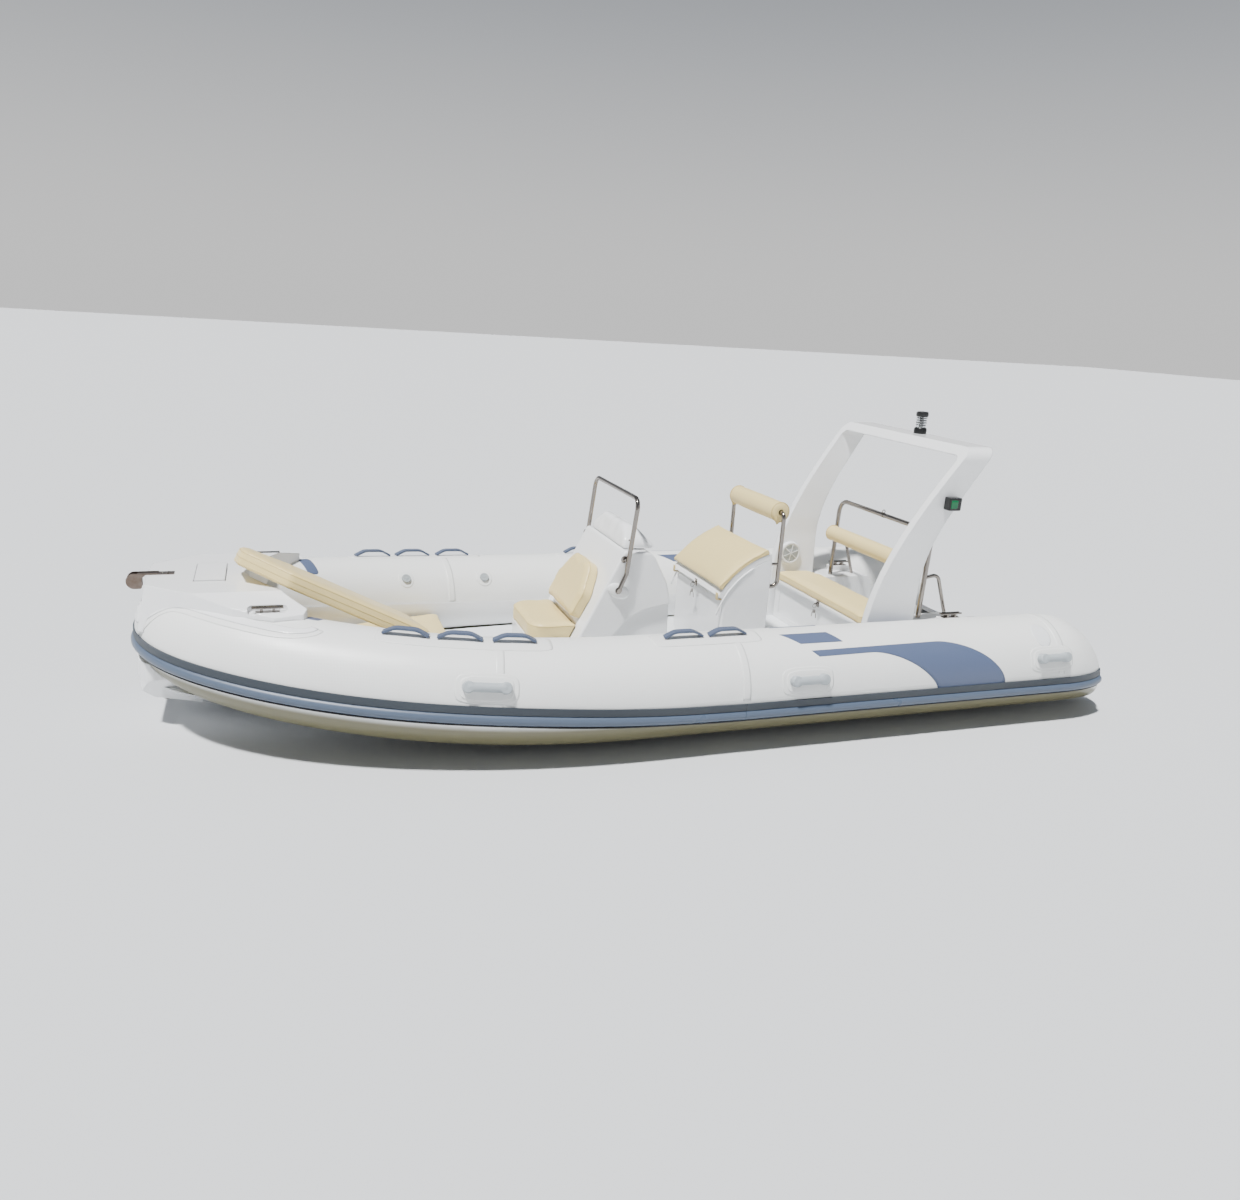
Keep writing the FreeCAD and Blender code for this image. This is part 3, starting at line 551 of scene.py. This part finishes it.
def swooshEdge(edge, u):
    # straight along the tube, then a rounded quarter turn down to the strake
    share, foot = panels["straightShare"], panels["footAngle"]
    if u < share:
        t = u / share
        return (edge["tip"] + (edge["bend"] - edge["tip"]) * t,
                edge["tipAngle"] + (edge["crest"] - edge["tipAngle"]) * t)
    turn = (u - share) / (1 - share) * math.pi / 2
    return (edge["bend"] + (edge["foot"] - edge["bend"]) * math.sin(turn) ** 1.2,
            foot + (edge["crest"] - foot) * max(0, math.cos(turn)) ** edge["roundness"])


def swooshPlace(u, v):
    low, high = swooshEdge(panels["lower"], u), swooshEdge(panels["upper"], u)
    return reach(low[0] + (high[0] - low[0]) * v), low[1] + (high[1] - low[1]) * v


def inboard(panel):
    # the same panel mirrored over the crown of the tube
    def place(u, v):
        along, angle = panel(u, v)
        return along, 180 - max(angle, panels["inboardLowest"])
    return place


layOn("side_decals", [blockPlace, swooshPlace, inboard(blockPlace), inboard(swooshPlace)], "decalFabric",
      across=64, around=16, lift=0.0012)


def valveRows():
    # centre-line places of the collar over the CAD valves, forward one first
    xs = sorted((v.co.x for v in nodes["inflation_valves"].data.vertices), reverse=True)
    rows = [[xs[0]]]
    for x in xs[1:]:
        if rows[-1][-1] - x > 0.1:
            rows.append([])
        rows[-1].append(x)
    found = []
    for row in rows:
        middle = (row[0] + row[-1]) / 2
        x = middle
        for _ in range(20):
            x += middle - onCollar(reach(x), 139, 0.008).x
        found.append(x)
    return found


# reinforcing patches, doublers and seam tapes in the tube's own fabric
patches = dict(handlePatch=[(4.14, 0.50, 82, 15), (2.765, 0.33, 82, 15)], padLift=0.0016,
               pads=[(4.010, 24), (2.215, 16.5), (0.468, 21)], seams=[3.95, 2.6, 0.385], seamHalf=0.024,
               valves=valveRows(), sternPatch=(0.50, 52))
layOn("handle_patches", [roundPatch(x, half, angle, rise, 9) for x, half, angle, rise in patches["handlePatch"]],
      "seamTape", across=48, around=12, lift=0.0016)
layOn("grab_pads", [roundPatch(x, 0.165, angle - 1, 16, 4) for x, angle in patches["pads"]],
      "seamTape", across=40, around=24, lift=patches["padLift"])
layOn("grab_pad_frames", [roundPatch(x, 0.138, angle - 1, 12.5, 4) for x, angle in patches["pads"]],
      "seamTape", across=40, around=24, lift=0.0045)
layOn("seam_tapes", [bandAcross(x, patches["seamHalf"], -1, 171) for x in patches["seams"]], "seamTape",
      across=60, around=4, lift=0.0011)
layOn("valve_patches", [roundPatch(x, 0.062, 139, 12.5, 2) for x in patches["valves"]],
      "seamTape", across=20, around=20, lift=0.0014)
layOn("blank_oval_patch", [roundPatch(patches["sternPatch"][0], 0.062, patches["sternPatch"][1], 17, 2)],
      "whitePlastic", across=20, around=24, lift=0.0012)
print("panels and patches are bonded on")

# the moulded flange where the foredeck meets the tube, from one deck wing round the stem to the other
deckFlange = dict(
    outer=dict(start=4.98, bend=0.37, tip=20, level=52, nose=1, noseAt=6.335, noseWidth=0.065),
    inner=dict(start=5.07, bend=0.13, tip=7.5, level=68.5, nose=32, noseAt=6.35, noseWidth=0.10),
    wingShare=0.15)


def flangeEdge(edge, u):
    # a quarter round at the wing, level along the deck, then an even fall to the stem
    share, bendEnd = deckFlange["wingShare"], edge["start"] + edge["bend"]
    if u < share:
        turn = u / share * math.pi / 2
        return bendEnd - edge["bend"] * math.cos(turn), edge["level"] + edge["tip"] * (1 - math.sin(turn))
    along = bendEnd + (stemReach - bendEnd) * (u - share) / (1 - share)
    fall = 1 / (1 + math.exp((along - edge["noseAt"]) / edge["noseWidth"]))
    return along, edge["nose"] + (edge["level"] - edge["nose"]) * fall


def flangePlace(inset):
    def place(u, v):
        a, b = flangeEdge(deckFlange["outer"], u), flangeEdge(deckFlange["inner"], u)
        v = inset + (1 - inset) * v
        return a[0] + (b[0] - a[0]) * v, a[1] + (b[1] - a[1]) * v
    return place


layOn("deck_flange", [flangePlace(0)], "seamTape", across=90, around=10, lift=0.002)
layOn("deck_flange_lip", [flangePlace(0.42)], "gelcoat", across=90, around=8, lift=0.006)
layOn("wing_patches", [roundPatch(4.90, 0.055, 111, 18, 6)], "decalFabric", across=12, around=20)


# painted shadow: a black strip under the rubbing strake stands in for the shade under the bead, from the port stern
# round the stem
def shadowLinePlace(u, v):
    along = 0.0 + (stemReach - 0.004) * u
    return along, stripAngle(along, -24.8) - 1.7 * v


# the black strip is painted shadow, lifted clear of the tube so that it shows below the bead
layOn("strake_shadow_line", [shadowLinePlace], "shadowLineBlack", across=160, around=2, lift=0.017)
print("foredeck flange and strake shadow line are on")


def turned(bm, profile, centre, axis, segments=32):
    # a lathe: profile is a list of (distance along the axis, radius)
    axis = Vector(axis).normalized()
    side = axis.orthogonal().normalized()
    verts = [bm.verts.new(Vector(centre) + axis * d + side * r) for d, r in profile]
    edges = [bm.edges.new(pair) for pair in zip(verts, verts[1:])]
    bmesh.ops.spin(bm, geom=verts + edges, cent=centre, axis=axis, dvec=(0, 0, 0), angle=math.tau, steps=segments,
                   use_merge=True, use_duplicate=False)
    bmesh.ops.remove_doubles(bm, verts=bm.verts, dist=1e-6)
    bmesh.ops.recalc_face_normals(bm, faces=bm.faces)


def block(bm, centre, size, bevel=0.002, segments=2, turn=None):
    made = bmesh.ops.create_cube(bm, size=1)["verts"]
    bmesh.ops.scale(bm, vec=size, verts=made)
    edges = list({edge for vert in made for edge in vert.link_edges})
    if bevel:
        made = bmesh.ops.bevel(bm, geom=edges, offset=bevel, offset_type="OFFSET", segments=segments, profile=0.5,
                               affect="EDGES", material=-1, clamp_overlap=True)["verts"]
        seen, heap = set(made), list(made)
        while heap:
            for edge in heap.pop().link_edges:
                for vert in edge.verts:
                    if vert not in seen:
                        seen.add(vert)
                        heap.append(vert)
        made = list(seen)
    if turn:
        bmesh.ops.transform(bm, matrix=turn, verts=made)
    bmesh.ops.translate(bm, vec=centre, verts=made)


def rolled(node, name, material, voxel, rounds, body="boat", swell=0.0):
    # a soft-edged moulding: the plain CAD shape is skinned again and its edges are rubbed round
    bm = bmesh.new()
    bm.from_mesh(nodes[node].data)
    bmesh.ops.remove_doubles(bm, verts=bm.verts, dist=1e-5)
    piece = addPiece(name, bm, material, body)
    skin = piece.modifiers.new("skin", "REMESH")
    skin.mode, skin.voxel_size = "VOXEL", voxel
    piece.data = bpy.data.meshes.new_from_object(piece.evaluated_get(bpy.context.evaluated_depsgraph_get()))
    piece.modifiers.remove(skin)
    bm = bmesh.new()
    bm.from_mesh(piece.data)
    for _ in range(rounds):
        bmesh.ops.smooth_vert(bm, verts=bm.verts, factor=0.5, use_axis_x=True, use_axis_y=True, use_axis_z=True)
    bm.normal_update()
    for vert in bm.verts:
        vert.co += vert.normal * swell
    bm.to_mesh(piece.data)
    bm.free()
    for face in piece.data.polygons:
        face.use_smooth = True
    soften(piece)
    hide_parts(node)
    return piece


rolled("grab_handles", "grab_handle_mouldings", "gripPlastic", 0.0045, 4, swell=0.001)

# instrument cowl: a thin moulded hood with soft folds
cowl = dict(voxel=0.008, rounds=10, swell=0.004, fold=0.006, foldSize=0.10)
hood = rolled("dash_cowl", "instrument_cowl", "gelcoat", cowl["voxel"], cowl["rounds"],
              swell=cowl["swell"])
for vert in hood.data.vertices:
    lean = min(1, max(0, (vert.co.z - 0.99) / 0.05))
    vert.co += vert.normal * (noise.noise(vert.co / cowl["foldSize"]) * cowl["fold"] * lean)
print("grab handles and cowl are moulded")

# bolsters: a roll of vinyl, its ends drawn in with folds and finished with a welt
bolsters = {
    "helm_backrest_bolster": dict(spot=(1.980, 1.195), radius=0.063, half=0.312, swell=0.002, tail=True),
    "bench_backrest_bolster": dict(spot=(1.065, 0.870), radius=0.0555, half=0.498, swell=0.0015, tail=False),
}


def makeBolster(node, spot, radius, half, swell, tail):
    x, z = spot
    rows = [(-half + 0.002, 0.017), (-half - 0.001, 0.30 * radius), (-half, 0.62 * radius),
            (-half + 0.003, 0.90 * radius), (-half + 0.010, radius)]
    rows += [(-half + 0.03 + (2 * half - 0.06) * k / 20, radius + swell * math.sin(math.pi * k / 20))
             for k in range(21)]
    rows += [(-d, r) for d, r in reversed(rows[:5])]
    bm = bmesh.new()
    turned(bm, rows, (x, 0, z), acrossAxis, 64)
    for vert in bm.verts:
        out = Vector((vert.co.x - x, 0, vert.co.z - z))
        end = max(0, 1 - (half - abs(vert.co.y)) / 0.012)
        about = math.atan2(out.z, out.x)
        fold = math.sin(14 * about + 2 * math.sin(3 * about)) * min(1, out.length / radius) * end
        vert.co.y += math.copysign(0.004 * fold, -vert.co.y) * (out.length / radius)
        vert.co += out.normalized() * noise.noise(vert.co / 0.06) * 0.001
    roll = addPiece(node + "_cover", bm, "creamVinyl")
    soften(roll)
    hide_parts(node)
    bm = bmesh.new()
    for end in (-1, 1):
        ring = [(end * (half - 0.011) + 0.0035 * math.cos(k), radius + 0.0005 + 0.0035 * math.sin(k))
                for k in [math.tau * n / 8 for n in range(9)]]
        turned(bm, ring, (x, 0, z), acrossAxis, 64)
    welt = addPiece(node + "_welts", bm, "weltVinyl")
    if tail:
        bm = bmesh.new()
        for end in (-1, 1):
            block(bm, (x + 0.03, end * (half + 0.004), z - 0.05), (0.022, 0.004, 0.05), 0.0015,
                  turn=Matrix.Rotation(0.5, 4, "Y"))
        addPiece(node + "_strap_tails", bm, "weltVinyl", sharp=40)


for node, choices in bolsters.items():
    makeBolster(node, **choices)
bm = bmesh.new()
for end in (-1, 1):
    turned(bm, [(0.494 * end, 0.0), (0.502 * end, 0.014), (0.512 * end, 0.019), (0.522 * end, 0.018),
                (0.526 * end, 0.0)], (1.065, 0, 0.870), acrossAxis, 24)
addPiece("bolster_end_plugs", bm, "blackPlastic")
print("bolsters are covered")

# helm seat: bead under the lid, corner straps, latch and keys; bench latch and keys
seatArc = dict(centre=(1.904, 0, 0.393), bead=0.5245, beadThick=0.0055, low=17, high=60, side=0.3715)


def arcBead(bm, radius, thick, low, high, side):
    start = math.radians(low)
    centre = Vector(seatArc["centre"])
    spot = centre + Vector((math.cos(start), 0, math.sin(start))) * radius + acrossAxis * side
    ring = bmesh.ops.create_circle(bm, segments=10, radius=thick, cap_ends=True)["verts"]
    lay = Matrix.Translation(spot) @ Matrix.Rotation(-start, 4, "Y")
    bmesh.ops.transform(bm, matrix=lay, verts=ring)
    faces = list({f for v in ring for f in v.link_faces})
    bmesh.ops.spin(bm, geom=ring + list({e for v in ring for e in v.link_edges}) + faces, cent=centre,
                   axis=(0, -1, 0), dvec=(0, 0, 0), angle=math.radians(high - low), steps=40, use_merge=False,
                   use_duplicate=False)
    bmesh.ops.recalc_face_normals(bm, faces=bm.faces)


bm = bmesh.new()
for side in (-1, 1):
    arcBead(bm, seatArc["bead"], seatArc["beadThick"], seatArc["low"], seatArc["high"], side * seatArc["side"])
addPiece("helm_seat_bead", bm, "gelcoat")
bm = bmesh.new()
for side in (-1, 1):
    block(bm, (2.401, side * 0.352, 0.667), (0.005, 0.030, 0.046), 0.002)
    block(bm, (2.385, side * 0.352, 0.6465), (0.034, 0.026, 0.005), 0.002)
addPiece("helm_cushion_straps", bm, "weltVinyl", "seat_lid", sharp=40)


def latchWithKeys(name, spot, body):
    x, y, z = spot
    bm = bmesh.new()
    block(bm, (x + 0.002, y, z), (0.004, 0.036, 0.048), 0.0015)
    turned(bm, [(0.003, 0.0), (0.003, 0.011), (0.014, 0.010), (0.016, 0.008), (0.016, 0.0)], (x, y, z),
           (1, 0, 0), 20)
    block(bm, (x + 0.022, y, z), (0.022, 0.003, 0.012), 0.001)
    ring = [(0.0013 * math.cos(k), 0.014 + 0.0013 * math.sin(k)) for k in [math.tau * n / 6 for n in range(7)]]
    turned(bm, ring, (x + 0.026, y, z - 0.016), acrossAxis, 20)
    for lean, drop in ((0.25, 0.052), (-0.2, 0.058)):
        turn = Matrix.Rotation(lean, 4, "X")
        block(bm, (x + 0.026 + lean * 0.01, y + lean * 0.05, z - drop), (0.0025, 0.022, 0.024), 0.001, turn=turn)
        block(bm, (x + 0.026 + lean * 0.01, y + lean * 0.13, z - drop - 0.026), (0.0025, 0.009, 0.034), 0.0008,
              turn=turn)
    addPiece(name, bm, "polishedSteel", body, sharp=40)


latchWithKeys("helm_seat_latch", (2.397, 0.02, 0.668), "seat_lid")
latchWithKeys("bench_latch", (1.466, 0.06, 0.4915), "bench_seat")
print("latches and keys are hung")

# console: rail bosses, brackets, dash instruments
dash = dict(low=(2.760, 0.779), high=(2.845, 0.933), gauges=[(0.10, 0.66, 0.040), (-0.02, 0.66, 0.040),
                                                             (0.205, 0.66, 0.030)],
            switches=(-0.175, 0.60), tick=24)
bm = bmesh.new()
for side in (-1, 1):
    made = bmesh.ops.create_uvsphere(bm, u_segments=32, v_segments=16, radius=1)["verts"]
    bmesh.ops.scale(bm, vec=(0.075, 0.022, 0.045), verts=made)
    bmesh.ops.transform(bm, matrix=Matrix.Rotation(math.radians(-25), 4, "Y"), verts=made)
    bmesh.ops.translate(bm, vec=(3.078, side * 0.378, 0.733), verts=made)
addPiece("rail_bosses", bm, "gelcoat")
bm = bmesh.new()
for side in (-1, 1):
    turned(bm, [(side * 0.374, 0.0), (side * 0.374, 0.020), (side * 0.378, 0.021), (side * 0.380, 0.009),
                (side * 0.402, 0.008), (side * 0.402, 0.0)], (3.052, 0, 0.930), acrossAxis, 24)
    turned(bm, [(side * 0.400, 0.0), (side * 0.400, 0.020), (side * 0.404, 0.022), (side * 0.407, 0.018)],
           (3.086, 0, 0.742), acrossAxis, 24)
addPiece("rail_brackets", bm, "polishedSteel", sharp=40)


def onDash(y, t, lift=0.0):
    low, high = Vector((dash["low"][0], y, dash["low"][1])), Vector((dash["high"][0], y, dash["high"][1]))
    slope = (high - low).normalized()
    return low + (high - low) * t + acrossAxis.cross(slope) * -lift, slope, -acrossAxis.cross(slope)


bezels, faces, marks = bmesh.new(), bmesh.new(), bmesh.new()
for y, t, radius in dash["gauges"]:
    spot, slope, out = onDash(y, t)
    turned(bezels, [(-0.004, radius), (0.006, radius + 0.001), (0.009, radius - 0.003), (0.006, radius - 0.006),
                    (0.004, radius - 0.006)], spot, out, 40)
    turned(faces, [(0.0045, 0.0), (0.0045, radius - 0.006)], spot, out, 40)
    right = slope.cross(out)
    for number in range(dash["tick"]):
        if number > dash["tick"] * 0.75:
            continue
        swing = math.radians(-135 + 360 / dash["tick"] * number)
        arm = slope * math.cos(swing) + right * math.sin(swing)
        turn = Matrix((arm, arm.cross(out), out)).transposed().to_4x4()
        tickLength = 0.007 if number % 3 == 0 else 0.004
        block(marks, spot + arm * (radius - 0.012) + out * 0.0048, (tickLength, 0.0012, 0.0006), 0, turn=turn)
    needle = slope * math.cos(-0.9) + right * math.sin(-0.9)
    turn = Matrix((needle, needle.cross(out), out)).transposed().to_4x4()
    block(marks, spot + needle * (radius - 0.018) * 0.5 + out * 0.006, (radius - 0.014, 0.002, 0.001), 0, turn=turn)
addPiece("gauge_bezels", bezels, "polishedSteel", sharp=40)
addPiece("gauge_faces", faces, "blackPlastic")
addPiece("gauge_marks", marks, "whitePlastic", sharp=30)
bm, rockers = bmesh.new(), bmesh.new()
spot, slope, out = onDash(*dash["switches"])
turn = Matrix((slope, acrossAxis, out)).transposed().to_4x4()
block(bm, spot + out * 0.002, (0.085, 0.150, 0.006), 0.003, turn=turn)
for number in range(5):
    place = spot + acrossAxis * (number - 2) * 0.027 + out * 0.007
    block(rockers, place, (0.032, 0.018, 0.008), 0.003, turn=turn @ Matrix.Rotation(0.12, 4, "Y"))
addPiece("switch_panel", bm, "gripPlastic", sharp=40)
addPiece("switch_rockers", rockers, "blackPlastic", sharp=40)
print("dash is fitted out")

# screws that show: domed heads, one small shape used again and again
screws = [((3.00, 0.30, 1.03), (0.4, 1, 0.5)), ((5.59, 0.018, 0.8245), (0, 0, 1)),
          ((5.59, -0.018, 0.8245), (0, 0, 1)), ((5.62, 0.0, 0.8245), (0, 0, 1))]
for side in (-1, 1):
    for step in (-0.048, 0.048):
        screws.append(((5.080 + step, side * 0.588, 0.7715), (0, 0, 1)))
        screws.append(((0.850 + step, side * 0.690, 0.5658), (0, 0, 1)))
bm = bmesh.new()
for spot, axis in screws:
    turned(bm, [(0.0, 0.0055), (0.0015, 0.0052), (0.0028, 0.003), (0.0031, 0.0)], spot, axis, 12)
addPiece("screw_heads", bm, "polishedSteel")

# lights
bm = bmesh.new()
block(bm, (1.020, 0.7685, 1.331), (0.050, 0.012, 0.052), 0.005, 3)
addPiece("port_lens", bm, "greenLens", sharp=40)
bm = bmesh.new()
block(bm, (1.020, -0.7685, 1.331), (0.050, 0.012, 0.052), 0.005, 3)
addPiece("starboard_lens", bm, "redLens", sharp=40)
mast = dict(spot=(0.780, 0, 0), base=[(1.680, 0.0), (1.680, 0.043), (1.712, 0.043), (1.722, 0.036), (1.722, 0.0)],
            lens=[(1.722, 0.0), (1.722, 0.034), (1.800, 0.034), (1.800, 0.0)],
            cap=[(1.796, 0.0), (1.796, 0.040), (1.806, 0.043), (1.824, 0.041), (1.830, 0.034), (1.830, 0.0)],
            core=[(1.722, 0.010), (1.796, 0.010)], rings=[1.739, 1.755, 1.771, 1.786])
bm = bmesh.new()
for part in ("base", "cap", "core"):
    turned(bm, mast[part], mast["spot"], upAxis, 32)
for height in mast["rings"]:
    turned(bm, [(height - 0.0022, 0.033), (height - 0.0022, 0.0355), (height + 0.0022, 0.0355),
                (height + 0.0022, 0.033)], mast["spot"], upAxis, 32)
housing = addPiece("top_light_housing", bm, "blackPlastic", sharp=40)
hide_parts("top_light")
bm = bmesh.new()
turned(bm, mast["lens"], mast["spot"], upAxis, 32)
addPiece("top_light_lens", bm, "clearLens", sharp=40)

# speakers, on the inner faces of the arch legs
rims, cones, bars = bmesh.new(), bmesh.new(), bmesh.new()
for side in (-1, 1):
    spot, inward = (1.340, side * 0.600, 0.690), (0, -side, 0)
    turned(rims, [(-0.004, 0.0835), (0.003, 0.084), (0.007, 0.080), (0.007, 0.068), (0.002, 0.064)],
           spot, inward, 48)
    turned(cones, [(0.0015, 0.066), (0.005, 0.060), (0.001, 0.050), (0.0005, 0.024), (0.006, 0.014), (0.008, 0.0)],
           spot, inward, 48)
    for lean in range(3):
        turn = Matrix.Rotation(math.radians(60 * lean + 20), 4, "Y")
        block(bars, (1.340, side * 0.5935, 0.690), (0.126, 0.003, 0.006), 0.001, turn=turn)
addPiece("speaker_rims", rims, "whitePlastic", sharp=60)
addPiece("speaker_cones", cones, "gripPlastic", sharp=60)
addPiece("speaker_bars", bars, "whitePlastic", sharp=40)

# inflation valves: spoked caps
bm = bmesh.new()
for x in patches["valves"]:
    for side in (-1, 1):
        spot = onCollar(reach(x), 139, 0.012, side)
        out = (spot - onCollar(reach(x), 139, -0.05, side)).normalized()
        turned(bm, [(0.0, 0.029), (0.003, 0.028), (0.003, 0.022), (0.0005, 0.021)], spot, out, 32)
        turned(bm, [(0.0, 0.008), (0.003, 0.007), (0.0035, 0.0)], spot, out, 16)
        level = out.orthogonal().normalized()
        for lean in range(3):
            arm = Matrix.Rotation(math.radians(60 * lean), 3, out) @ level
            turn = Matrix((arm, out.cross(arm), out)).transposed().to_4x4()
            block(bm, spot + out * 0.0012, (0.046, 0.0035, 0.0028), 0.0008, turn=turn)
addPiece("valve_caps", bm, "gripPlastic", sharp=40)
print("lights, speakers and valves are in")

# stern: eye on the hoop, motor clamp pads, lifting eyes, drain
bm = bmesh.new()
ring = [(0.0028 * math.cos(k), 0.011 + 0.0028 * math.sin(k)) for k in [math.tau * n / 8 for n in range(9)]]
turned(bm, ring, (0.985, 0.0, 1.130), acrossAxis, 24)
turned(bm, [(-0.012, 0.018), (0.012, 0.018)], (0.985, 0.0, 1.105), acrossAxis, 24)
for side in (-1, 1):
    loop = [(0.006 * math.cos(k), 0.032 + 0.006 * math.sin(k)) for k in [math.tau * n / 8 for n in range(9)]]
    turned(bm, loop, (0.338, side * 0.34, 0.12), acrossAxis, 32)
    block(bm, (0.338, side * 0.34, 0.12), (0.005, 0.04, 0.11), 0.002)
turned(bm, [(0.0, 0.0), (0.0, 0.024), (-0.004, 0.024), (-0.007, 0.014), (-0.014, 0.013), (-0.014, 0.0)],
       (0.340, 0.12, -0.10), (1, 0, 0), 24)
addPiece("stern_fittings", bm, "polishedSteel", sharp=40)
bm = bmesh.new()
block(bm, (0.335, 0, 0.20), (0.010, 0.36, 0.24), 0.004)
block(bm, (0.404, 0, 0.30), (0.008, 0.36, 0.075), 0.003)
addPiece("motor_clamp_pads", bm, "blackPlastic", sharp=40)
print("stern is fitted")
